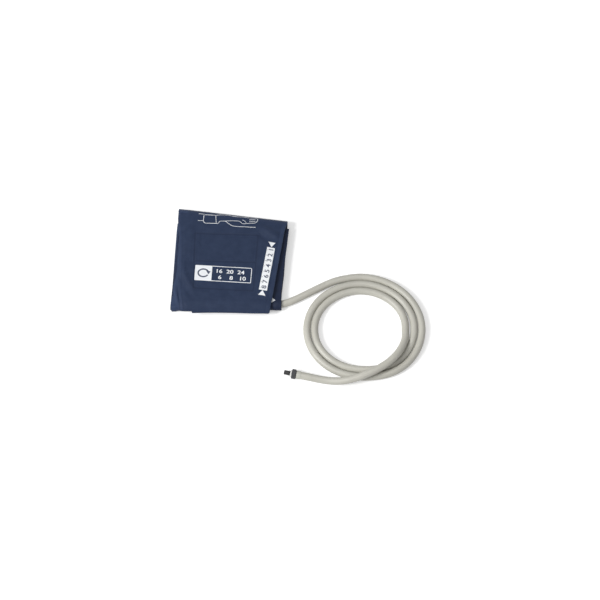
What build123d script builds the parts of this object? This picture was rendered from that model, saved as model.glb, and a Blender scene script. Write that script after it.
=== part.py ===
from build123d import *
import math
import os

# Blood pressure cuff, small adult size, wrapped flat for storage, with its air hose in a loose coil.
# Frame: millimetres, +X towards the hose edge, +Y towards the rear fold, +Z up.
# Origin: the middle of the base panel's underside, which lies on the table.

# ---------------------------------------------------------------- driving dimensions
# The wrapped strip
CUFF_WIDTH = 120.0  # across the strip, along the arm
COVER = 0.5  # laminated nylon cover, one layer
FILM = 0.6  # bladder film, one layer
WELD_BORDER = 8.0  # both covers welded together along each long edge
EDGE_RAMP = 6.0  # from the weld border up to the full thickness of the pad
WELD_SINK = 0.02  # beside the bladder the covers stand this far apart along the weld

# The two folds run across the strip, a little askew because the strip is cut as a cone
FRONT_FOLD_Y = -45.85  # axis of the front fold at the middle of the strip
FRONT_FOLD_SKEW = 9.9  # how much further back the axis lies at +X than at -X
REAR_FOLD_Y = 57.5  # axis of the rear fold at the middle of the strip
REAR_FOLD_SKEW = -8.8

# The head panel, which is the inner end of the strip
HEAD_END_Y = 44.0
HEAD_BORDER = 7.0  # weld border across the head end
BLADDER_END_RAMP = 4.0
BLADDER_TAIL_Y = 10.0  # where the bladder ends on the base panel

# Hook and loop
LOOP_THICKNESS = 0.8
HOOK_THICKNESS = 0.8
HOOK_PLAY = 0.2  # between the hook and the loop faces
LOOP_LEFT_MARGIN = 14.0  # from the strip's left edge to the loop patch
LOOP_RIGHT_MARGIN = 18.0
LOOP_LENGTH = 74.0
LOOP_CENTRE_Y = 3.0
HOOK_WIDTH = 67.5
HOOK_STRIP_LENGTH = 33.4
HOOK_STRIP_GAP = 0.8
HOOK_CENTRE = (-4.7, 3.8)
TAPE_CORNER = 1.5

# Flap, the outer end of the strip, and its pull tab
HINGE_SLOT = 0.3  # between two panels that fold against each other
HINGE_LIFT = 0.2  # the fold lines lie this much above the cover's outer face
FLAP_END_HALF_WIDTH = 47.5
FLAP_END_Y = -56.4  # at the middle of the flap's end
FLAP_END_SKEW = 0.044  # slope of the flap's end across the strip
FLAP_SIDE_BOW = 2.2  # how far the left side bows out
TAB_LENGTH = 14.0
TAB_STEP_X = -35.0  # the left corner of the tab is cut back from here
TAB_STEP = 2.7
TAB_CORNER = 1.8

# Air hose
HOSE_D = 8.0
HOSE_BORE = 4.0
BORE_DEPTH = 13.0
SLEEVE_PLAY = 0.1  # between the hose and the covers round it
SLEEVE_CORNER = 2.0
HOSE_IN_CUFF = 12.0  # length of hose inside the strip's edge
HOSE_STRAIGHT_OUT = 2.0  # straight this far past the edge

# The coil: an oval spiral that winds inwards clockwise, seen from above
COIL_CENTRE = (148.7, -64.4)
COIL_RADIUS = 63.4
COIL_GAP = 0.6  # free space between neighbouring turns
COIL_OVAL = 2.4  # wider across than along by this much each way
COIL_START = -20.0  # degrees clockwise from +Y
COIL_QUARTERS = 9
COIL_DRAW_IN = 4.0  # the last quarter turn draws in by this much
COIL_END_RUN = HOSE_D  # straight at each end of the coil

# Air port between the films, at the front fold
POCKET_RAMP = 10.0  # over this length the inner film draws back to make room for the port
POCKET_GAP = 2.0  # free space before the port's foot
BOAT_LENGTH = 8.0  # the port's foot, between the films
PORT_PLAY = 0.05
PORT_FLANGE_R = 3.9
PORT_FLANGE = 1.6
SPIGOT_R = 1.8
BARB_R = 2.2
BARB_PITCH = 3.6
BARB_COUNT = 3
PORT_BORE_R = 1.2

# Plug on the far end of the hose
PLUG_END = (80.8, -122.2)  # where the hose ends, in plan
PLUG_HEADING = 171.4  # degrees from +X
RING_R = 5.25
RING_LENGTH = 4.3
RING_PLAY = 0.05  # radial, on the journal
RING_END_PLAY = 0.1
RING_FLOOR_PLAY = 0.1
KNURL_COUNT = 24
KNURL_R = 0.42
RING_CHAMFER = 0.4
JOURNAL_R = 3.2
FLANGE_R = 4.3
FLANGE = 0.8
NECK_R = 2.0
SEAL_R = 3.6
SEAL_LENGTH = 1.4
TIP_R = 2.45
TIP_LENGTH = 6.9
TIP_CHAMFER = 0.45
TIP_BORE_R = 0.9
O_RING_AT = 1.3  # from the tip's shoulder to the ring's middle
O_RING_SECTION = 1.1
O_RING_GROOVE = 1.3
O_RING_STAND = 0.25  # how far it stands out of the tip
FERRULE_LENGTH = 4.2
FERRULE_WALL = 0.4

# ---------------------------------------------------------------- levels and places that follow
half_width = CUFF_WIDTH / 2
hose_r = HOSE_D / 2
front_r = hose_r + SLEEVE_PLAY + COVER  # outer face of the front fold
front_z = front_r
head_top = 2 * front_r
loop_top = head_top + LOOP_THICKNESS
hook_low = loop_top + HOOK_PLAY
flap_low = hook_low + HOOK_THICKNESS
flap_top = flap_low + 2 * COVER
rear_r = flap_top / 2
bladder_half = half_width - WELD_BORDER - EDGE_RAMP
head_bladder_y = HEAD_END_Y - HEAD_BORDER - BLADDER_END_RAMP
sleeve_wall = hose_r + SLEEVE_PLAY + 0.05  # from the fold's axis to the cover behind the hose
hose_start_x = half_width - HOSE_IN_CUFF
boat_start_x = hose_start_x - BOAT_LENGTH
pocket_start_x = boat_start_x - POCKET_GAP - POCKET_RAMP
pocket_end_x = boat_start_x - POCKET_GAP
first_bend_x = half_width + HOSE_STRAIGHT_OUT


def front_y(x):
    """The front fold's axis at a place across the strip."""
    return FRONT_FOLD_Y + FRONT_FOLD_SKEW * x / CUFF_WIDTH


def rear_y(x):
    """The rear fold's axis at a place across the strip."""
    return REAR_FOLD_Y + REAR_FOLD_SKEW * x / CUFF_WIDTH


def tab_line_y(x):
    """The line where the pull tab folds up from the flap."""
    return FLAP_END_Y + TAB_LENGTH + FLAP_END_SKEW * x


def bend(start, end, centre):
    """An arc of less than a half circle from start to end about centre."""
    radius = math.dist(start, centre)
    middle = Vector(*centre)
    half_way = (Vector(*start) + Vector(*end)) / 2 - middle
    ThreePointArc(start, middle + half_way.normalized() * radius, end)


def front_bend(y, radius, z=front_z):
    """The half turn of the front fold from the head panel down to the base panel, as two quarters."""
    bend((y, z + radius), (y - radius, z), (y, z))
    bend((y - radius, z), (y, z - radius), (y, z))


def rear_bend(y, radius):
    """The half turn of the rear fold from the base panel up to the flap, as two quarters."""
    bend((y, rear_r - radius), (y + radius, rear_r), (y, rear_r))
    bend((y + radius, rear_r), (y, rear_r + radius), (y, rear_r))


# ---------------------------------------------------------------- covers and bladder
# Each layer is drawn at stations across the strip and lofted straight from one to the next.
def head_section(x):
    """The outer cover of the head panel and the front fold."""
    y_front = front_y(x)
    with BuildLine() as section:
        for inset in (0, COVER):
            Line((HEAD_END_Y, head_top - inset), (y_front, head_top - inset))
            front_bend(y_front, front_r - inset)
        Line((HEAD_END_Y, head_top), (HEAD_END_Y, head_top - COVER))
        Line((y_front, 0), (y_front, COVER))
    return Plane.YZ.offset(x) * Face(section.wire())


def rear_section(x):
    """The outer cover of the rear fold."""
    y_rear = rear_y(x)
    with BuildLine() as section:
        rear_bend(y_rear, rear_r)
        rear_bend(y_rear, rear_r - COVER)
        Line((y_rear, 0), (y_rear, COVER))
        Line((y_rear, flap_top), (y_rear, flap_top - COVER))
    return Plane.YZ.offset(x) * Face(section.wire())


lining_r = front_r - COVER  # the outer cover's inner face, in the front fold
bladder_r = lining_r - FILM  # the outer film's inner face
fold_flat = 0.1  # half the straight stretch between the two quarters of an inner fold


def inner_fold(x):
    """The inner layers' front fold at one station: its corners' middle, the half height that the
    corners' middles stand apart, the radius there and the half height of the layers' outer face.
    From the pocket of the air port to the hose edge the layers pass behind the hose."""
    reach = bladder_r if abs(x) <= bladder_half else lining_r
    if x < pocket_end_x:
        return front_y(x), fold_flat, reach - fold_flat, reach
    corner_y = front_y(x) + sleeve_wall + SLEEVE_CORNER
    return corner_y, reach - SLEEVE_CORNER, SLEEVE_CORNER, reach


def inner_layer_fold(x, inset):
    """Both corners of one face of an inner layer, inset from the layers' outer face."""
    y, apart, radius, _ = inner_fold(x)
    radius -= inset
    high, low = front_z + apart, front_z - apart
    bend((y, high + radius), (y - radius, high), (y, high))
    Line((y - radius, high), (y - radius, low))
    bend((y - radius, low), (y, low - radius), (y, low))


def inner_cover_section(x):
    y_corner, _, _, reach = inner_fold(x)
    film = FILM if abs(x) <= bladder_half else WELD_SINK
    y_rear = rear_y(x)
    head_weld_y = HEAD_END_Y - HEAD_BORDER
    base_weld_y = BLADDER_TAIL_Y + BLADDER_END_RAMP
    with BuildLine() as section:
        for face in (0, COVER):
            weld, pad_face = lining_r - face, reach - film - face
            Line((HEAD_END_Y, front_z + weld), (head_weld_y, front_z + weld))
            Line((head_weld_y, front_z + weld), (head_bladder_y, front_z + pad_face))
            Line((head_bladder_y, front_z + pad_face), (y_corner, front_z + pad_face))
            inner_layer_fold(x, film + face)
            Line((y_corner, front_z - pad_face), (BLADDER_TAIL_Y, front_z - pad_face))
            Line((BLADDER_TAIL_Y, front_z - pad_face), (base_weld_y, front_z - weld))
            Line((base_weld_y, front_z - weld), (y_rear, front_z - weld))
            rear_bend(y_rear, rear_r - COVER - face)
        Line((HEAD_END_Y, front_z + lining_r), (HEAD_END_Y, front_z + lining_r - COVER))
        Line((y_rear, flap_top - COVER), (y_rear, flap_low))
    return Plane.YZ.offset(x) * Face(section.wire())


def outer_film_section(x):
    y_front = front_y(x)
    with BuildLine() as section:
        for radius in (lining_r, bladder_r):
            Line((head_bladder_y, front_z + radius), (y_front, front_z + radius))
            front_bend(y_front, radius)
            Line((y_front, front_z - radius), (BLADDER_TAIL_Y, front_z - radius))
        for y, side in ((head_bladder_y, 1), (BLADDER_TAIL_Y, -1)):
            Line((y, front_z + side * lining_r), (y, front_z + side * bladder_r))
    return Plane.YZ.offset(x) * Face(section.wire())


def inner_film_section(x):
    y_corner, _, _, reach = inner_fold(x)
    with BuildLine() as section:
        for inset in (0, FILM):
            level = reach - inset
            Line((head_bladder_y, front_z + level), (y_corner, front_z + level))
            inner_layer_fold(x, inset)
            Line((y_corner, front_z - level), (BLADDER_TAIL_Y, front_z - level))
        for y, side in ((head_bladder_y, 1), (BLADDER_TAIL_Y, -1)):
            Line((y, front_z + side * reach), (y, front_z + side * (reach - FILM)))
    return Plane.YZ.offset(x) * Face(section.wire())


weld_x = half_width - WELD_BORDER
film_stations = (-bladder_half, pocket_start_x, pocket_end_x, bladder_half)
cover_stations = (-half_width, -weld_x, *film_stations, weld_x, half_width)

edges_x = (-half_width, half_width)

with BuildPart() as body_outer_cover:
    with BuildSketch():
        with BuildLine():
            front_edge = [(x, front_y(x)) for x in edges_x]
            rear_edge = [(x, rear_y(x)) for x in reversed(edges_x)]
            Polyline(*front_edge, *rear_edge, close=True)
        make_face()
    extrude(amount=COVER)
    loft([head_section(x) for x in edges_x], ruled=True)
    loft([rear_section(x) for x in edges_x], ruled=True)

with BuildPart() as body_inner_cover:
    loft([inner_cover_section(x) for x in cover_stations], ruled=True)

with BuildPart() as bladder_outer_film:
    loft([outer_film_section(x) for x in (-bladder_half, bladder_half)], ruled=True)

with BuildPart() as bladder_inner_film:
    loft([inner_film_section(x) for x in film_stations], ruled=True)

with BuildPart() as loop_patch:
    with BuildSketch(Plane.XY.offset(head_top)):
        with Locations(((LOOP_LEFT_MARGIN - LOOP_RIGHT_MARGIN) / 2, LOOP_CENTRE_Y)):
            loop_width = CUFF_WIDTH - LOOP_LEFT_MARGIN - LOOP_RIGHT_MARGIN
            RectangleRounded(loop_width, LOOP_LENGTH, TAPE_CORNER)
    extrude(amount=LOOP_THICKNESS)


# ---------------------------------------------------------------- flap and pull tab
def flap_outline(level):
    """The flap and its tab together, from the fold line to the free end, at one level."""
    rear_left = (-half_width, rear_y(-half_width) - HINGE_SLOT)
    rear_right = (half_width, rear_y(half_width) - HINGE_SLOT)
    end_right = (FLAP_END_HALF_WIDTH, FLAP_END_Y + FLAP_END_SKEW * FLAP_END_HALF_WIDTH)
    step_low = (TAB_STEP_X, FLAP_END_Y + FLAP_END_SKEW * TAB_STEP_X)
    step_high = (TAB_STEP_X, step_low[1] + TAB_STEP)
    end_left = (-FLAP_END_HALF_WIDTH, step_high[1])
    side = Vector(*end_left) - Vector(*rear_left)
    outwards = Vector(side.Y, -side.X).normalized() * FLAP_SIDE_BOW
    side_middle = (Vector(*rear_left) + Vector(*end_left)) / 2 + outwards
    with BuildSketch(Plane.XY.offset(level)) as outline:
        with BuildLine():
            Line(rear_left, rear_right)
            Line(rear_right, end_right)
            Line(end_right, step_low)
            Line(step_low, step_high)
            Line(step_high, end_left)
            ThreePointArc(end_left, side_middle, rear_left)
        make_face()
    return outline.sketch


tab_line = Plane(
    origin=(0, tab_line_y(0), 0),
    x_dir=(1, FLAP_END_SKEW, 0),
    z_dir=(FLAP_END_SKEW, -1, 0),
)


def panel_layer(level, of_tab):
    """One cover layer of the flap or of its tab, cut where the tab folds."""
    extrude(flap_outline(level), amount=COVER)
    if of_tab:
        split(bisect_by=tab_line.offset(HINGE_SLOT / 2), keep=Keep.TOP)
        rows = edges().filter_by(Axis.Z).group_by(Axis.Y)[0:3]
        fillet([row.sort_by(Axis.X)[0] for row in rows], TAB_CORNER)
    else:
        split(bisect_by=tab_line.offset(-HINGE_SLOT / 2), keep=Keep.BOTTOM)


with BuildPart() as flap_outer_cover:
    panel_layer(flap_top - COVER, of_tab=False)

with BuildPart() as flap_inner_cover:
    panel_layer(flap_low, of_tab=False)

with BuildPart() as tab_outer_cover:
    panel_layer(flap_top - COVER, of_tab=True)

with BuildPart() as tab_inner_cover:
    panel_layer(flap_low, of_tab=True)

hook_step = (HOOK_STRIP_LENGTH + HOOK_STRIP_GAP) / 2


def hook_strip(side):
    with BuildSketch(Plane.XY.offset(hook_low)) as strip:
        with Locations((HOOK_CENTRE[0], HOOK_CENTRE[1] + side * hook_step)):
            RectangleRounded(HOOK_WIDTH, HOOK_STRIP_LENGTH, TAPE_CORNER)
    extrude(strip.sketch, amount=HOOK_THICKNESS)


with BuildPart() as hook_strip_rear:
    hook_strip(1)

with BuildPart() as hook_strip_front:
    hook_strip(-1)

# ---------------------------------------------------------------- hose
pitch = HOSE_D + COIL_GAP
coil_turns = COIL_QUARTERS / 4


def coil_radius(turn):
    """Distance of the hose's axis from the coil's middle, after so many turns."""
    angle = math.radians(COIL_START + 360 * turn)
    drawn_in = max(0, turn - coil_turns + 0.25) / 0.25
    return (
        COIL_RADIUS
        - pitch * (turn + COIL_START / 360)
        - COIL_OVAL * math.cos(2 * angle)
        - COIL_DRAW_IN * drawn_in**2
    )


def coil_point(turn):
    angle, radius = math.radians(COIL_START + 360 * turn), coil_radius(turn)
    x = COIL_CENTRE[0] + radius * math.sin(angle)
    return Vector(x, COIL_CENTRE[1] + radius * math.cos(angle), hose_r)


def coil_heading(turn):
    step = 1e-5
    return (coil_point(turn + step) - coil_point(turn - step)).normalized()


def biarc_joint(start, start_heading, end, end_heading):
    """Where the two arcs of a biarc meet, with equal tangent lengths at its ends."""
    across, both = end - start, start_heading + end_heading
    spread = 2 * (1 - start_heading.dot(end_heading))
    along = across.dot(both)
    length = (math.sqrt(along**2 + spread * across.dot(across)) - along) / spread
    return (start + end + (start_heading - end_heading) * length) / 2


fold_heading = Vector(CUFF_WIDTH, FRONT_FOLD_SKEW, 0).normalized()
coil_in, coil_out = coil_heading(0), coil_heading(coil_turns)
coil_from = coil_point(0) - coil_in * COIL_END_RUN
coil_to = coil_point(coil_turns) + coil_out * COIL_END_RUN
plug_heading = Vector(1, 0, 0).rotate(Axis.Z, PLUG_HEADING)
plug_z = RING_R + RING_FLOOR_PLAY
plug_from = Vector(PLUG_END[0], PLUG_END[1], plug_z)

# The lead leaves the cuff along the front fold, bends back and runs into the coil.
lead_route = [
    Vector(hose_start_x, front_y(hose_start_x), front_z),
    Vector(first_bend_x, front_y(first_bend_x), front_z),
    Vector(73.4, -36.6, 4.3),
    Vector(84.2, -29.6, 4.0),
    Vector(94.6, -20.6, 4.0),
    coil_from - coil_in * 14.0,
    coil_from,
]
# The tail climbs over the two outer turns in one long hump and comes down to the plug.
tail_route = [
    coil_to,
    coil_to + coil_out * 12.0,
    Vector(191.9, -82.4, 8.8),
    Vector(186.9, -94.9, 12.6),
    Vector(179.0, -106.0, 14.4),
    Vector(169.0, -115.0, 14.4),
    Vector(157.5, -121.9, 13.6),
    Vector(144.9, -126.6, 11.4),
    Vector(131.5, -129.0, 7.8),
    Vector(118.0, -129.1, 5.2),
    Vector(105.2, -127.4, 4.0),
    plug_from - plug_heading * 12.5,
    plug_from,
]


def corner_radii(route):
    """The largest arc that the two runs at each corner allow."""
    radii = []
    for before, corner, after in zip(route, route[1:], route[2:]):
        run_in, run_out = corner - before, after - corner
        half_turn = math.radians(run_in.get_angle(run_out)) / 2
        radii.append(0.45 * min(run_in.length, run_out.length) / math.tan(half_turn))
    return radii


def hose_along(route):
    """A free stretch of hose: straight runs joined by tangent arcs."""
    with BuildLine() as axis:
        FilletPolyline(*route, radius=corner_radii(route))
    with BuildSketch(Plane(origin=route[0], z_dir=route[1] - route[0])) as section:
        Circle(hose_r)
    sweep(section.sketch, path=axis.wire())
    return axis.wire()


def bore_end(end, inwards):
    with BuildSketch(Plane(origin=end, z_dir=inwards)) as bore:
        Circle(HOSE_BORE / 2)
    extrude(bore.sketch, amount=BORE_DEPTH, mode=Mode.SUBTRACT)


with BuildPart() as hose_lead:
    lead_axis = hose_along(lead_route)
    lead_solid = hose_lead.part.volume
    bore_end(lead_route[0], fold_heading)

with BuildPart() as hose_coil:
    with BuildLine() as coil_line:
        Line(coil_from, coil_point(0))
        for quarter in range(COIL_QUARTERS):
            starts, ends = quarter / 4, (quarter + 1) / 4
            first, last = coil_point(starts), coil_point(ends)
            first_heading, last_heading = coil_heading(starts), coil_heading(ends)
            joint = biarc_joint(first, first_heading, last, last_heading)
            first_arc = TangentArc(first, joint, tangent=first_heading)
            TangentArc(joint, last, tangent=first_arc % 1)
        Line(coil_point(coil_turns), coil_to)
    with BuildSketch(Plane(origin=coil_from, z_dir=coil_in)):
        Circle(hose_r)
    coil_axis = coil_line.wire()
    sweep(path=coil_axis)

with BuildPart() as hose_tail:
    tail_axis = hose_along(tail_route)
    tail_solid = hose_tail.part.volume
    bore_end(plug_from, -plug_heading)


def along(axis, step=1.0):
    count = round(axis.length / step)
    return [axis.position_at(k / count) for k in range(count + 1)]


def report_hose():
    """Prints the radii, the volumes against section times length, and the least gaps."""
    section = math.pi * hose_r**2
    parts = {"lead": (lead_axis, lead_solid), "coil": (coil_axis, hose_coil.part.volume)}
    parts["tail"] = (tail_axis, tail_solid)
    for name, (axis, volume) in parts.items():
        share = volume / (section * axis.length)
        print(name, "length", round(axis.length, 1), "volume over section x length", round(share, 5))
    print("lead radii", [round(r, 1) for r in corner_radii(lead_route)])
    print("tail radii", [round(r, 1) for r in corner_radii(tail_route)])
    coil_points = along(coil_axis)
    apart = round(math.pi * COIL_RADIUS)  # points this far along the hose can lie beside each other
    least = min(
        (a - b).length
        for k, a in enumerate(coil_points)
        for b in coil_points[k + apart :]
    )
    print("coil's least gap to itself", round(least - HOSE_D, 2))
    for name, points in (("lead", along(lead_axis)), ("tail", along(tail_axis)[::-1])):
        others = coil_points[apart:] if name == "lead" else coil_points[:-apart]
        least = min((a - b).length for a in points for b in others)
        print(name, "least gap to the coil", round(least - HOSE_D, 2))


report_hose()


# ---------------------------------------------------------------- turned and moulded fittings
def axial(origin, heading):
    """A plane through a fitting's axis: x runs along the axis and y stands up from it."""
    return Plane(origin=origin, x_dir=heading, z_dir=heading.cross(Vector(0, 0, 1)))


def barbs():
    """The outline of a hose barb as (distance from the hose's end, radius), from its shoulder."""
    points = []
    for k in range(BARB_COUNT):
        root = 1.0 + k * BARB_PITCH
        points += [(root, SPIGOT_R), (root, BARB_R), (root + 0.7 * BARB_PITCH, SPIGOT_R)]
    return points


spigot_length = 1.0 + BARB_COUNT * BARB_PITCH

with BuildPart() as bladder_port:
    port_face = lead_route[0]
    port_root = port_face - fold_heading * PORT_FLANGE
    boat_r = bladder_r - PORT_PLAY
    for station in (boat_start_x, bladder_half + PORT_FLANGE / 2):
        boat_y = front_y(station)
        boat_back = boat_y + sleeve_wall - PORT_PLAY
        with BuildSketch(Plane.YZ.offset(station)):
            with BuildLine():
                front_bend(boat_y, boat_r)
                Line((boat_y, front_z - boat_r), (boat_back, front_z - boat_r))
                Line((boat_back, front_z - boat_r), (boat_back, front_z + boat_r))
                Line((boat_back, front_z + boat_r), (boat_y, front_z + boat_r))
            make_face()
    loft(ruled=True)
    with BuildSketch(axial(port_face, fold_heading)):
        with BuildLine():
            Polyline(
                (0, PORT_BORE_R),
                (-PORT_FLANGE, PORT_BORE_R),
                (-PORT_FLANGE, PORT_FLANGE_R),
                (0, PORT_FLANGE_R),
                (0, SPIGOT_R),
                *barbs(),
                (spigot_length, PORT_BORE_R),
                close=True,
            )
        make_face()
    revolve(axis=Axis(port_face, fold_heading))
    with BuildSketch(Plane(origin=port_face, z_dir=-fold_heading)):
        Circle(PORT_BORE_R)
    extrude(amount=2 * BOAT_LENGTH, mode=Mode.SUBTRACT)

journal_end = FLANGE + RING_LENGTH + 2 * RING_END_PLAY
tip_start = journal_end + SEAL_LENGTH
tip_end = tip_start + TIP_LENGTH
groove_start = tip_start + O_RING_AT - O_RING_GROOVE / 2
groove_end = groove_start + O_RING_GROOVE
o_ring_r = O_RING_SECTION / 2
o_ring_centre = TIP_R + O_RING_STAND - o_ring_r
groove_r = o_ring_centre - o_ring_r

with BuildPart() as plug_body:
    with BuildSketch(axial(plug_from, plug_heading)):
        with BuildLine():
            Polyline(
                (-spigot_length, TIP_BORE_R),
                *[(-s, r) for s, r in reversed(barbs())],
                (0, SPIGOT_R),
                (0, FLANGE_R),
                (FLANGE, FLANGE_R),
                (FLANGE, JOURNAL_R),
                (journal_end, JOURNAL_R),
                (journal_end, NECK_R),
                (tip_start, NECK_R),
                (tip_start, TIP_R),
                (groove_start, TIP_R),
                (groove_start, groove_r),
                (groove_end, groove_r),
                (groove_end, TIP_R),
                (tip_end - TIP_CHAMFER, TIP_R),
                (tip_end, TIP_R - TIP_CHAMFER),
                (tip_end, TIP_BORE_R),
                close=True,
            )
        make_face()
    revolve(axis=Axis(plug_from, plug_heading))

with BuildPart() as plug_seal:
    with BuildSketch(axial(plug_from, plug_heading)):
        with BuildLine():
            Polyline(
                (journal_end, NECK_R),
                (journal_end, SEAL_R),
                (tip_start, SEAL_R),
                (tip_start, NECK_R),
                close=True,
            )
        make_face()
    revolve(axis=Axis(plug_from, plug_heading))

with BuildPart() as plug_o_ring:
    with BuildSketch(axial(plug_from, plug_heading)):
        with Locations((tip_start + O_RING_AT, o_ring_centre)):
            Circle(o_ring_r)
    revolve(axis=Axis(plug_from, plug_heading))

with BuildPart() as hose_ferrule:
    with BuildSketch(Plane(origin=plug_from, z_dir=-plug_heading)):
        Circle(hose_r + FERRULE_WALL)
        Circle(hose_r, mode=Mode.SUBTRACT)
    extrude(amount=FERRULE_LENGTH)

with BuildPart() as lock_ring:
    ring_back = Plane(
        origin=plug_from + plug_heading * (FLANGE + RING_END_PLAY),
        x_dir=(0, 0, 1),
        z_dir=plug_heading,
    )
    with BuildSketch(ring_back):
        Circle(RING_R)
    extrude(amount=RING_LENGTH)
    rims = edges().filter_by(GeomType.CIRCLE)
    chamfer(rims, RING_CHAMFER)
    with BuildSketch(ring_back):
        Circle(JOURNAL_R + RING_PLAY)
        with PolarLocations(RING_R, KNURL_COUNT):
            Circle(KNURL_R)
    extrude(amount=RING_LENGTH, mode=Mode.SUBTRACT)

# ---------------------------------------------------------------- every piece, under its own name
pieces = {
    "body_outer_cover": body_outer_cover,
    "body_inner_cover": body_inner_cover,
    "bladder_outer_film": bladder_outer_film,
    "bladder_inner_film": bladder_inner_film,
    "bladder_port": bladder_port,
    "loop_patch": loop_patch,
    "flap_outer_cover": flap_outer_cover,
    "flap_inner_cover": flap_inner_cover,
    "hook_strip_rear": hook_strip_rear,
    "hook_strip_front": hook_strip_front,
    "tab_outer_cover": tab_outer_cover,
    "tab_inner_cover": tab_inner_cover,
    "hose_lead": hose_lead,
    "hose_coil": hose_coil,
    "hose_tail": hose_tail,
    "hose_ferrule": hose_ferrule,
    "plug_body": plug_body,
    "plug_seal": plug_seal,
    "plug_o_ring": plug_o_ring,
    "lock_ring": lock_ring,
}

os.makedirs("parts", exist_ok=True)
for name, piece in pieces.items():
    piece.part.label = name
    export_step(piece.part, f"parts/{name}.step")
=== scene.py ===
import math

import bmesh
import bpy
import numpy as np
from mathutils import Matrix, Vector, noise


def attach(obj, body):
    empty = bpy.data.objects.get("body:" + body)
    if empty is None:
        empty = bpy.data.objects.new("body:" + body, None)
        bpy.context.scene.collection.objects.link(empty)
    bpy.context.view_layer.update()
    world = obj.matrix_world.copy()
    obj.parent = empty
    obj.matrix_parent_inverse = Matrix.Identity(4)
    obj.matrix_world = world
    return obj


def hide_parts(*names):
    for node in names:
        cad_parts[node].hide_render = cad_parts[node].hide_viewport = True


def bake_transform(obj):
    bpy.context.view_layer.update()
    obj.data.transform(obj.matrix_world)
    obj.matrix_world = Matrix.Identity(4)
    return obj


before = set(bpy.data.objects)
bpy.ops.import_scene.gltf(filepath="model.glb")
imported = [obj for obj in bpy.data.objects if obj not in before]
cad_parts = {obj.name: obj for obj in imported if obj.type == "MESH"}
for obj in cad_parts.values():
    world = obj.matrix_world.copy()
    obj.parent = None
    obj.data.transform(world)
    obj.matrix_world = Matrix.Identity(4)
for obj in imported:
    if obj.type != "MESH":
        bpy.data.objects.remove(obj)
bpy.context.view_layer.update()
scene = bpy.context.scene
MM = 0.001


def link(obj):
    scene.collection.objects.link(obj)
    return obj


# ---------------------------------------------------------------- camera
camera_data = bpy.data.cameras.new("camera")
camera_data.lens = 82.57
camera_data.sensor_width = 36
camera_data.clip_start, camera_data.clip_end = 0.05, 20
camera = link(bpy.data.objects.new("camera", camera_data))
camera.location = (0.1157, -0.6654, 1.3595)
camera.rotation_euler = (math.radians(25), 0, math.radians(3.3))
scene.camera = camera


# ---------------------------------------------------------------- materials
def material(name):
    """A new material, its main shader, and the two functions that add and join nodes in it."""
    made = bpy.data.materials.new(name)
    made.use_nodes = True
    tree = made.node_tree
    shader = tree.nodes["Principled BSDF"]

    def node(kind, **settings):
        n = tree.nodes.new(kind)
        for key, value in settings.items():
            if key in n.inputs:
                n.inputs[key].default_value = value
            else:
                setattr(n, key, value)
        return n

    def join(a, out, b, into):
        tree.links.new(a.outputs[out], b.inputs[into])

    return made, shader, node, join


def ramp(node, low, high, at_low=0.35, at_high=0.65):
    """A colour ramp from low to high."""
    n = node("ShaderNodeValToRGB")
    n.color_ramp.elements[0].position, n.color_ramp.elements[1].position = at_low, at_high
    n.color_ramp.elements[0].color = (*low, 1)
    n.color_ramp.elements[1].color = (*high, 1)
    return n


def cloth_material(name, colour, light, pitch, bump, rough=0.55, sheen=0.06, **marks):
    """Plain weave of the given thread pitch in mm. Its UV unit is 100 mm of cloth.

    Each mark is the tone that the cloth takes where the mesh's attribute of that name is 1.
    """
    made, shader, node, join = material(name)
    uv = node("ShaderNodeUVMap", uv_map="cloth")
    weave = 31.4 / pitch
    across = node("ShaderNodeTexWave", Scale=weave, Distortion=0.6, bands_direction="X")
    along = node("ShaderNodeTexWave", Scale=weave, Distortion=0.6, bands_direction="Y")
    mottle = node("ShaderNodeTexNoise", Scale=9.0, Detail=5.0, Roughness=0.6)
    fine = node("ShaderNodeTexNoise", Scale=260.0, Detail=2.0)
    for n in (across, along, mottle, fine):
        join(uv, "UV", n, "Vector")
    threads = node("ShaderNodeMath", operation="MULTIPLY")
    join(across, "Fac", threads, 0)
    join(along, "Fac", threads, 1)
    tint = ramp(node, colour, light)
    join(mottle, "Fac", tint, "Fac")
    shade = node("ShaderNodeMix", data_type="RGBA", blend_type="MULTIPLY", Factor=0.28)
    join(tint, "Color", shade, "A")
    speck = ramp(node, (0.55, 0.55, 0.55), (1.25, 1.25, 1.25), 0.0, 1.0)
    join(threads, "Value", speck, "Fac")
    join(speck, "Color", shade, "B")
    last = shade
    for mark, tone in marks.items():
        edge = node("ShaderNodeAttribute", attribute_name=mark)
        mixed = node("ShaderNodeMix", data_type="RGBA", blend_type="MIX")
        join(edge, "Fac", mixed, "Factor")
        join(last, "Result", mixed, "A")
        mixed.inputs["B"].default_value = (*tone, 1)
        last = mixed
    join(last, "Result", shader, "Base Color")
    worn = node("ShaderNodeMapRange")
    worn.inputs["To Min"].default_value = rough - 0.07
    worn.inputs["To Max"].default_value = rough + 0.08
    join(mottle, "Fac", worn, "Value")
    join(worn, "Result", shader, "Roughness")
    height = node("ShaderNodeMath", operation="ADD")
    join(threads, "Value", height, 0)
    join(fine, "Fac", height, 1)
    relief = node("ShaderNodeBump", Strength=bump, Distance=0.00012)
    join(height, "Value", relief, "Height")
    join(relief, "Normal", shader, "Normal")
    shader.inputs["Specular IOR Level"].default_value = 0.2
    shader.inputs["Sheen Weight"].default_value = sheen
    shader.inputs["Sheen Roughness"].default_value = 0.45
    return made


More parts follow.
